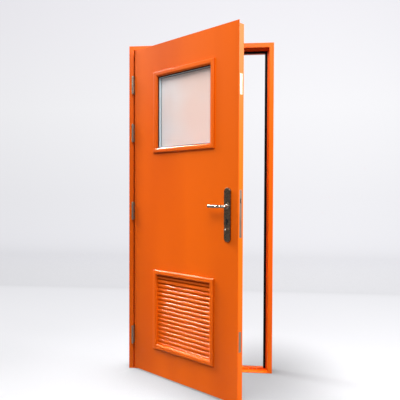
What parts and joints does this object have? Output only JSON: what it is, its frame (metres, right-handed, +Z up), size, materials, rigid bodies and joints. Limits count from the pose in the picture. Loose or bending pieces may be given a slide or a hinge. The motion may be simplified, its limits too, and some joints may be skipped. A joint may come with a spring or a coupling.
{
  "type": "louvred steel door with frame",
  "caption": "Outward-opening steel door in its frame, standing part open, with a glazed vision panel, a louvre, barrel hinges, lever handles and side bolts.",
  "frame": {"origin": "on the floor, at the middle of the frame's width and in the plane of its face", "axes": "+X along the frame from the hinge side to the lock side, +Y into the wall, +Z up"},
  "size_m": [0.895, 0.5964, 2.02],
  "materials": {
    "powder_coated_steel": "satin orange powder coat",
    "black_rubber": "matt",
    "satin_glass": "satin",
    "spacer_aluminium": "mill",
    "mineral_board": "fibrous mineral board",
    "zinc_plated_steel": "zinc plated",
    "stainless_steel": "brushed",
    "polished_handle_steel": "polished",
    "black_cylinder": "black"
  },
  "bodies": {
    "frame": {"hinge_jamb": "powder_coated_steel", "lock_jamb": "powder_coated_steel", "frame_head": "powder_coated_steel", "threshold": "powder_coated_steel", "hinge_jamb_seal": "black_rubber", "lock_jamb_seal": "black_rubber", "head_seal": "black_rubber", "main_keep": "zinc_plated_steel", "lower_keep": "zinc_plated_steel", "upper_keep": "zinc_plated_steel", "hinge_frame_flap_1": "stainless_steel", "hinge_frame_flap_2": "stainless_steel", "hinge_frame_flap_3": "stainless_steel", "hinge_frame_flap_4": "stainless_steel", "hinge_pins": "stainless_steel", "frame_flap_screws": "stainless_steel"},
    "leaf": {"outer_skin": "powder_coated_steel", "inner_skin": "powder_coated_steel", "insulation_core": "mineral_board", "hinge_stile_channel": "zinc_plated_steel", "lock_stile_channel": "zinc_plated_steel", "top_rail_channel": "zinc_plated_steel", "bottom_rail_channel": "zinc_plated_steel", "vision_bead_outer": "powder_coated_steel", "vision_bead_inner": "powder_coated_steel", "outer_pane": "satin_glass", "inner_pane": "satin_glass", "pane_spacer": "spacer_aluminium", "outer_gasket": "black_rubber", "inner_gasket": "black_rubber", "louvre_bead_outer": "powder_coated_steel", "louvre_bead_inner": "powder_coated_steel", "louvre_blades": "powder_coated_steel", "hinge_leaf_flap_1": "stainless_steel", "hinge_leaf_flap_2": "stainless_steel", "hinge_leaf_flap_3": "stainless_steel", "hinge_leaf_flap_4": "stainless_steel", "leaf_flap_screws": "stainless_steel", "lock_case": "zinc_plated_steel", "main_faceplate": "stainless_steel", "lower_faceplate": "stainless_steel", "upper_faceplate": "stainless_steel", "lower_bolt_case": "zinc_plated_steel", "upper_bolt_case": "zinc_plated_steel", "outer_backplate": "polished_handle_steel", "inner_backplate": "polished_handle_steel", "backplate_bolts": "polished_handle_steel", "euro_cylinder": "black_cylinder"},
    "lever": {"lever_outer": "polished_handle_steel", "lever_inner": "polished_handle_steel", "lever_spindle": "stainless_steel"},
    "latch": {"latch_bolt": "stainless_steel"},
    "snib": {"turn_knob": "polished_handle_steel"},
    "key_plug": {"cylinder_plug": "black_cylinder"},
    "deadbolt": {"main_deadbolt": "stainless_steel"},
    "lower_bolt_pair": {"lower_bolts": "stainless_steel"},
    "upper_bolt_pair": {"upper_bolts": "stainless_steel"},
    "upper_rod": {"upper_drive_rod": "zinc_plated_steel"},
    "lower_rod": {"lower_drive_rod": "zinc_plated_steel"}
  },
  "joints": [
    {"name": "leaf_swing", "type": "hinge", "parent": "frame", "child": "leaf", "pos_m": [-0.4215, -0.011, 1], "axis": [0, 0, 1], "range_deg": [-132.67, 37.33]},
    {"name": "lever_turn", "type": "hinge", "parent": "leaf", "child": "lever", "pos_m": [0.19585, -0.46797, 1.035], "axis": [-0.6064, -0.7952, 0], "range_deg": [0, 45], "stiffness_Nm_per_rad": 1.5, "springref_deg": -28.65},
    {"name": "snib_turn", "type": "hinge", "parent": "leaf", "child": "snib", "pos_m": [0.19585, -0.46797, 0.914], "axis": [-0.6064, -0.7952, 0], "range_deg": [0, 90]},
    {"name": "latch_slide", "type": "slide", "parent": "leaf", "child": "latch", "axis": [0.7952, -0.6064, 0], "range_m": [0, 0.016]},
    {"name": "key_turn", "type": "hinge", "parent": "leaf", "child": "key_plug", "pos_m": [0.19585, -0.46797, 0.963], "axis": [-0.6064, -0.7952, 0], "range_deg": [0, 360]},
    {"name": "deadbolt_slide", "type": "slide", "parent": "leaf", "child": "deadbolt", "axis": [0.7952, -0.6064, 0], "range_m": [0, 0.02]},
    {"name": "lower_bolt_slide", "type": "slide", "parent": "leaf", "child": "lower_bolt_pair", "axis": [0.7952, -0.6064, 0], "range_m": [0, 0.02]},
    {"name": "upper_bolt_slide", "type": "slide", "parent": "leaf", "child": "upper_bolt_pair", "axis": [0.7952, -0.6064, 0], "range_m": [0, 0.02]},
    {"name": "upper_rod_slide", "type": "slide", "parent": "leaf", "child": "upper_rod", "axis": [0, 0, 1], "range_m": [0, 0.02]},
    {"name": "lower_rod_slide", "type": "slide", "parent": "leaf", "child": "lower_rod", "axis": [0, 0, -1], "range_m": [0, 0.02]}
  ],
  "couplings": [
    {"joint": "snib_turn", "follows": "latch_slide", "rad_per_m": 98.1},
    {"joint": "key_turn", "follows": "deadbolt_slide", "rad_per_m": 314.1},
    {"joint": "lower_bolt_slide", "follows": "deadbolt_slide", "ratio": 1},
    {"joint": "upper_bolt_slide", "follows": "deadbolt_slide", "ratio": 1},
    {"joint": "upper_rod_slide", "follows": "deadbolt_slide", "ratio": 1},
    {"joint": "lower_rod_slide", "follows": "deadbolt_slide", "ratio": 1}
  ]
}
